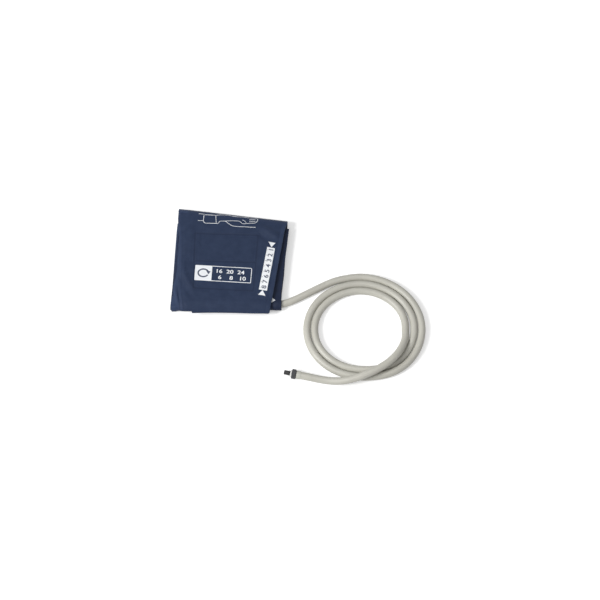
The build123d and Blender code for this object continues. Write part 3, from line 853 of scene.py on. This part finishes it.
# ---------------------------------------------------------------- hook strips and loop patch
def grid_slab(name, low, high, levels, step, made, corner=1.5):
    """A tape with rounded corners: levels gives its lower and upper face."""
    nx, ny = int((high[0] - low[0]) / step) + 1, int((high[1] - low[1]) / step) + 1
    gx, gy = np.meshgrid(np.linspace(low[0], high[0], nx), np.linspace(low[1], high[1], ny))
    for cx, sx in ((low[0] + corner, -1), (high[0] - corner, 1)):
        for cy, sy in ((low[1] + corner, -1), (high[1] - corner, 1)):
            past_x, past_y = (gx - cx) * sx, (gy - cy) * sy
            far = np.hypot(past_x, past_y)
            pull = (past_x > 0) & (past_y > 0) & (far > corner)
            gx = np.where(pull, cx + sx * past_x * corner / np.maximum(far, 1e-6), gx)
            gy = np.where(pull, cy + sy * past_y * corner / np.maximum(far, 1e-6), gy)
    lower, upper = levels(gx, gy)
    outer = np.stack([gx, gy, upper], -1)
    inner = np.stack([gx, gy, lower], -1)
    return cloth_mesh(name, outer, inner, np.stack([gx, gy], -1), [made, made])


LOOP_LOW, LOOP_HIGH = (-46, -34), (42, 40)


def loop_levels(gx, gy):
    """The loop tape's pile, low along its edges."""
    from_side = np.minimum(gx - LOOP_LOW[0], LOOP_HIGH[0] - gx)
    from_end = np.minimum(gy - LOOP_LOW[1], LOOP_HIGH[1] - gy)
    tufts = 0.12 * clouds(gx, gy, 2.2, 6.0, 1) + 0.05 * clouds(gx, gy, 7, 8.0, 1)
    pile = soft_step(np.minimum(from_side, from_end) / 1.6)
    return HEAD_LEVEL + 0 * gx, HEAD_LEVEL + 0.25 + pile * (0.36 + tufts)


loop = grid_slab("loop_tape", LOOP_LOW, LOOP_HIGH, loop_levels, 0.8, loop_pile)
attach(loop, "body")
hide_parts("loop_patch")

TAPE_LOW, TAPE_HIGH = 10.72, FLAP_LEVEL - 2 * CLOTH
TAPE_LEFT, TAPE_RIGHT, TAPE_HALF_DEPTH = -38.45, 29.05, 16.7
HOOK_PITCH, HOOK_SIDES = 1.45, 5
HOOK_PROFILE = [(0.26, 10.74), (0.17, 10.5), (0.17, 10.36), (0.30, 10.31), (0.20, 10.22)]


def hook_levels(gx, gy):
    """The hook tape's even faces."""
    return TAPE_LOW + 0 * gx, TAPE_HIGH + 0 * gx


def add_hook(mesh, x, y):
    """One leaning hook with a wide head, hanging down: its profile gives radius and height."""
    rings = []
    for k, (r, z) in enumerate(HOOK_PROFILE):
        lean = 0.16 * max(0, k - 1)
        ring = []
        for side in range(HOOK_SIDES):
            angle = math.tau * side / HOOK_SIDES
            place = (x + r * math.cos(angle), y + lean + r * math.sin(angle), z)
            ring.append(mesh.verts.new([c * MM for c in place]))
        rings.append(ring)
    for upper, lower in zip(rings, rings[1:]):
        for side in range(HOOK_SIDES):
            after = (side + 1) % HOOK_SIDES
            mesh.faces.new((upper[side], lower[side], lower[after], upper[after]))
    mesh.faces.new(rings[-1][::-1])


def hook_tape(name, centre_y, cad_node):
    """A tape under the flap with staggered rows of hooks."""
    low = (TAPE_LEFT, centre_y - TAPE_HALF_DEPTH)
    high = (TAPE_RIGHT, centre_y + TAPE_HALF_DEPTH)
    tape = grid_slab(name, low, high, hook_levels, 2.0, hook_plastic)
    made = bmesh.new()
    made.from_mesh(tape.data)
    xs = np.arange(low[0] + 1.8, high[0] - 1.5, HOOK_PITCH)
    ys = np.arange(low[1] + 1.8, high[1] - 1.5, HOOK_PITCH)
    for k, y in enumerate(ys):
        for x in xs + (HOOK_PITCH / 2 if k % 2 else 0):
            if x <= high[0] - 1.2:
                add_hook(made, x, y)
    made.to_mesh(tape.data)
    made.free()
    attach(tape, "flap")
    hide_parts(cad_node)
    return tape


hook_rear = hook_tape("hook_tape_rear", 20.9, "hook_strip_rear")
hook_front = hook_tape("hook_tape_front", -13.3, "hook_strip_front")


# ---------------------------------------------------------------- prints
def on_flap(x, y, above):
    """A printed point, wrapped round the rear fold where it lies past the fold line."""
    past = y - rear_y(x)
    if past > 0:
        turn = past / REAR_RADIUS
        wave = float(rear_wave(x)) * float(soft_step(1 - turn / (0.75 * math.pi)))
        r = REAR_RADIUS + above + wave
        back = (r + REAR_BULGE) * math.sin(turn)
        return (x, rear_y(x) + back, REAR_RADIUS + r * math.cos(turn))
    return (x, y, float(flap_surface(np.array([x]), np.array([y]))[0]) + above)


def on_head_panel(x, y, above):
    """A printed point on the head panel, where it lies bare."""
    rise = float(head_relief(x, y)) + float(hose_swell(x, y))
    return (x, y, HEAD_LEVEL + rise + above)


DIGIT_HEIGHT = 0.69  # of the plain font at size 1


class Print:
    """Flat printed shapes, cut into small faces and laid on the cloth, so far above it in mm."""

    def __init__(self, name, ink, above):
        self.name, self.ink, self.above = name, ink, above
        self.mesh = bmesh.new()

    def area(self, points):
        corners = [self.mesh.verts.new((px, py, 0)) for px, py in points]
        self.mesh.faces.new(corners)

    def stroke(self, points, width):
        """A line of even width through the points."""
        sides = []
        for k, p in enumerate(points):
            before, after = points[max(k - 1, 0)], points[min(k + 1, len(points) - 1)]
            dx, dy = after[0] - before[0], after[1] - before[1]
            length = math.hypot(dx, dy) or 1
            nx, ny = -dy / length * width / 2, dx / length * width / 2
            left = self.mesh.verts.new((p[0] + nx, p[1] + ny, 0))
            right = self.mesh.verts.new((p[0] - nx, p[1] - ny, 0))
            sides.append((left, right))
        for (a, b), (c, d) in zip(sides, sides[1:]):
            self.mesh.faces.new((a, b, d, c))

    def numbers(self, text, left, base, height, slope=0.0, stretch=1.0):
        """Plain numbers whose first digit starts at (left, base)."""
        data = bpy.data.curves.new("numbers", "FONT")
        data.body, data.size, data.offset = text, 1.0, 0.02
        temporary = link(bpy.data.objects.new("numbers", data))
        mesh = bpy.data.meshes.new_from_object(temporary)
        scale = height / DIGIT_HEIGHT
        size = Matrix.Diagonal((scale * stretch, scale, 1, 1))
        turn = Matrix.Rotation(slope, 4, "Z")
        mesh.transform(Matrix.Translation((left, base, 0)) @ turn @ size)
        self.mesh.from_mesh(mesh)
        bpy.data.objects.remove(temporary)
        bpy.data.meshes.remove(mesh)

    def lay(self, place=on_flap):
        """Cuts the shapes into squares of 1 mm and moves them onto the cloth."""
        m = self.mesh
        bmesh.ops.triangulate(m, faces=m.faces[:])
        xs, ys = [v.co.x for v in m.verts], [v.co.y for v in m.verts]
        for axis, low, high in (((1, 0, 0), min(xs), max(xs)), ((0, 1, 0), min(ys), max(ys))):
            for cut in np.arange(math.floor(low), high, 1.0):
                geometry = m.verts[:] + m.edges[:] + m.faces[:]
                bmesh.ops.bisect_plane(m, geom=geometry, plane_co=[c * cut for c in axis], plane_no=axis)
        for v in m.verts:
            v.co = [c * MM for c in place(v.co.x, v.co.y, self.above)]
        bmesh.ops.remove_doubles(m, verts=m.verts[:], dist=1e-6)
        m.normal_update()
        for f in m.faces:
            if f.normal.z < 0:
                f.normal_flip()
        mesh = bpy.data.meshes.new(self.name)
        m.to_mesh(mesh)
        m.free()
        mesh.materials.append(self.ink)
        return link(bpy.data.objects.new(self.name, mesh))


def rounded(corners, radius, steps=5):
    """Corner points of a shape with its corners rounded."""
    made = []
    for k, p in enumerate(corners):
        p, before = Vector(p), Vector(corners[k - 1])
        after = Vector(corners[(k + 1) % len(corners)])
        a = p + (before - p).normalized() * radius
        b = p + (after - p).normalized() * radius
        for j in range(steps + 1):
            t = j / steps
            made.append(tuple(a * (1 - t) ** 2 + p * 2 * t * (1 - t) + b * t**2))
    return made


def curve(points, steps=8):
    """A smooth line through the points."""
    made = []
    for k in range(len(points) - 1):
        p0, p1 = Vector(points[max(k - 1, 0)]), Vector(points[k])
        p2, p3 = Vector(points[k + 1]), Vector(points[min(k + 2, len(points) - 1)])
        bend = 2 * p0 - 5 * p1 + 4 * p2 - p3
        swing = 3 * p1 - p0 - 3 * p2 + p3
        for j in range(steps):
            t = j / steps
            made.append(tuple(0.5 * (2 * p1 + (p2 - p0) * t + bend * t**2 + swing * t**3)))
    made.append(tuple(points[-1]))
    return made


LINE, FINE_LINE = 0.75, 0.5
SQUARE = [(-37.0, -2.4), (-18.3, -2.55), (-18.2, -21.0), (-36.7, -20.8)]
FRAME_END = [(23.4, -3.15), (24.75, -3.15), (24.75, -20.85), (23.4, -20.85)]
BAR = [(39.9, 24.1), (48.5, 22.7), (43.1, -29.4), (34.2, -28.1)]  # from the rear left corner on
REAR_INDEX = [(40.8, 30.6), (48.7, 29.3), (44.4, 24.0)]
FRONT_INDEX = [(38.4, -28.7), (33.8, -34.5), (42.0, -35.5)]


def print_frame(ink):
    """A square for the size and a frame with two rows of numbers."""
    ink.area(rounded(SQUARE, 1.2))
    ink.stroke(curve([(-18.8, -2.95), (24.2, -3.15)], 12), LINE)
    ink.stroke(curve([(-18.8, -20.6), (24.2, -20.85)], 12), LINE)
    ink.stroke(rounded(FRAME_END, 1.2)[6:-6], LINE)
    ink.numbers("16  20  24", -14.6, -10.6, 4.3, -0.012, 1.24)
    ink.numbers("6    8   10", -11.2, -18.0, 4.3, -0.012, 1.24)


def print_arm(ink):
    """An arm with its sleeve and tube, in plain lines."""
    sleeve = rounded([(-33.0, 60.3), (-33.3, 52.5), (-31.5, 49.6), (-18.6, 49.9), (-20.0, 60.2)], 1.0)
    ink.stroke(sleeve + sleeve[:1], FINE_LINE)
    ink.stroke([(-39.0, 61.4), (-33.0, 60.9)], FINE_LINE)
    ink.stroke([(-39.2, 52.5), (-33.4, 52.7)], FINE_LINE)
    palm = [(18.5, 52.5), (24.5, 53.2), (27.0, 56.7), (25.0, 59.2), (17.0, 59.4)]
    above = [(9.0, 60.0), (2.0, 59.9), (-6.0, 61.2), (-14.0, 61.2), (-20.0, 60.2)]
    ink.stroke(curve(palm + above), FINE_LINE)
    elbow = [(-18.6, 49.9), (-16.4, 50.2), (-14.6, 52.9), (-9.5, 53.4), (-2.5, 54.3), (5.5, 54.4)]
    thumb = [(8.0, 53.4), (10.0, 51.7), (12.5, 51.2), (18.5, 52.5)]
    ink.stroke(curve(elbow + thumb), FINE_LINE)
    ink.stroke(curve([(10.0, 56.2), (12.5, 55.0), (14.5, 53.0)]), 0.45)
    for finger in (54.9, 56.9):
        ink.stroke([(17.5, finger), (24.6, finger + 0.3)], 0.4)
    tube = [(-9.0, 53.3), (-7.2, 52.4), (-5.0, 50.6), (-1.5, 48.4), (2.0, 47.5), (10, 47.4), (25.3, 47.5)]
    ink.stroke(curve(tube), 0.55)


def print_ring_arrow(ink):
    """An open ring that ends in an arrow, in the square."""
    middle = Vector((-27.6, -11.6))
    turns = np.linspace(0.5, 5.8, 40)
    ring = [tuple(middle + Vector((5.6 * math.cos(a), 4.6 * math.sin(a)))) for a in turns]
    ink.stroke(ring, 1.6)
    ink.area([(-19.8, -9.4), (-24.9, -8.4), (-22.0, -13.2)])


def print_scale(ink):
    """The digits and ticks of the range bar, with 1 at its rear end."""
    rear_left, rear_right, front_right, front_left = (Vector(corner) for corner in BAR)
    along = front_left - rear_left
    upright = math.atan2(along.y, along.x) + math.pi
    for k, digit in enumerate("87654321"):
        t = 1 - (k + 0.45) / 8
        left, right = rear_left.lerp(front_left, t), rear_right.lerp(front_right, t)
        foot = right.lerp(left, 0.18)
        ink.numbers(digit, foot.x, foot.y - 1.0, 5.0, upright, 1.1)
        ink.stroke([tuple(left.lerp(right, 0.06)), tuple(left.lerp(right, 0.17))], 0.5)


white = Print("print_white", white_ink, 0.05)
print_frame(white)
for shape in (BAR, REAR_INDEX, FRONT_INDEX):
    white.area(shape)
print_arm(white)
print_white = white.lay()
dark = Print("print_dark", dark_ink, 0.09)
print_ring_arrow(dark)
print_scale(dark)
print_dark = dark.lay()
for made in (print_white, print_dark):
    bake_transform(made)

mark = Print("print_artery_mark", white_ink, 0.08)
mark.area([(53.0, -39.0), (48.6, -35.4), (48.3, -42.4)])
print_mark = mark.lay(on_head_panel)
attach(print_mark, "body")

# ---------------------------------------------------------------- floor and light
floor_mesh = bpy.data.meshes.new("floor")
floor_mesh.from_pydata([(-4, -4, 0), (4, -4, 0), (4, 4, 0), (-4, 4, 0)], [], [(0, 1, 2, 3)])
floor = link(bpy.data.objects.new("floor", floor_mesh))
floor.location.z = -0.0002
WHITE_FROM, WHITE_BY = 0.30, 0.60  # between these radii the table turns into the white backdrop
TABLE_GLOW = 0.39
WORLD_LIGHT = 0.30


def math_node(tree, operation, a, b):
    made = tree.nodes.new("ShaderNodeMath")
    made.operation = operation
    for socket, value in zip(made.inputs, (a, b)):
        if isinstance(value, (int, float)):
            socket.default_value = value
        else:
            tree.links.new(value, socket)
    return made.outputs[0]


def seen_share(tree):
    """1 for the rays that show a surface by sight, in a mirror or through glass."""
    path = tree.nodes.new("ShaderNodeLightPath")
    looks = math_node(tree, "MAXIMUM", path.outputs["Is Camera Ray"], path.outputs["Is Glossy Ray"])
    return math_node(tree, "MAXIMUM", looks, path.outputs["Is Transmission Ray"])


def paper_material():
    """A lit white table that turns into a white backdrop further out, for the eye only."""
    paper = bpy.data.materials.new("paper")
    paper.use_nodes = True
    tree = paper.node_tree
    tree.nodes.clear()
    output = tree.nodes.new("ShaderNodeOutputMaterial")
    lit = tree.nodes.new("ShaderNodeBsdfDiffuse")
    lit.inputs["Color"].default_value = (0.80, 0.80, 0.80, 1)
    place = tree.nodes.new("ShaderNodeTexCoord")
    away = tree.nodes.new("ShaderNodeVectorMath")
    away.operation = "LENGTH"
    tree.links.new(place.outputs["Object"], away.inputs[0])
    far = tree.nodes.new("ShaderNodeMapRange")
    far.interpolation_type = "SMOOTHSTEP"
    far.inputs["From Min"].default_value = WHITE_FROM
    far.inputs["From Max"].default_value = WHITE_BY
    far.inputs["To Min"].default_value = TABLE_GLOW
    far.inputs["To Max"].default_value = 1.0
    tree.links.new(away.outputs["Value"], far.inputs["Value"])
    glow = tree.nodes.new("ShaderNodeEmission")
    seen = math_node(tree, "MULTIPLY", seen_share(tree), far.outputs["Result"])
    tree.links.new(seen, glow.inputs["Strength"])
    total = tree.nodes.new("ShaderNodeAddShader")
    tree.links.new(lit.outputs[0], total.inputs[0])
    tree.links.new(glow.outputs[0], total.inputs[1])
    tree.links.new(total.outputs[0], output.inputs["Surface"])
    return paper


def make_world():
    """White for the eye, and a dim even light for everything else."""
    world = bpy.data.worlds.new("world")
    scene.world = world
    world.use_nodes = True
    tree = world.node_tree
    background = tree.nodes["Background"]
    background.inputs["Color"].default_value = (1, 1, 1, 1)
    backdrop = math_node(tree, "MULTIPLY", seen_share(tree), 1 - WORLD_LIGHT)
    total = math_node(tree, "ADD", backdrop, WORLD_LIGHT)
    tree.links.new(total, background.inputs["Strength"])


def lamp(name, place, target, size, power):
    data = bpy.data.lights.new(name, "AREA")
    data.shape, data.size, data.energy = "DISK", size, power
    made = link(bpy.data.objects.new(name, data))
    made.location = place
    made.rotation_euler = (Vector(target) - Vector(place)).to_track_quat("-Z", "Y").to_euler()


floor_mesh.materials.append(paper_material())
make_world()
MIDDLE = (0.08, -0.03, 0)
lamp("key", (-1.12, -0.66, 1.27), MIDDLE, 0.65, 28)
lamp("fill", (0.0, -0.20, 2.2), MIDDLE, 2.4, 12)

scene.view_settings.view_transform = "Standard"
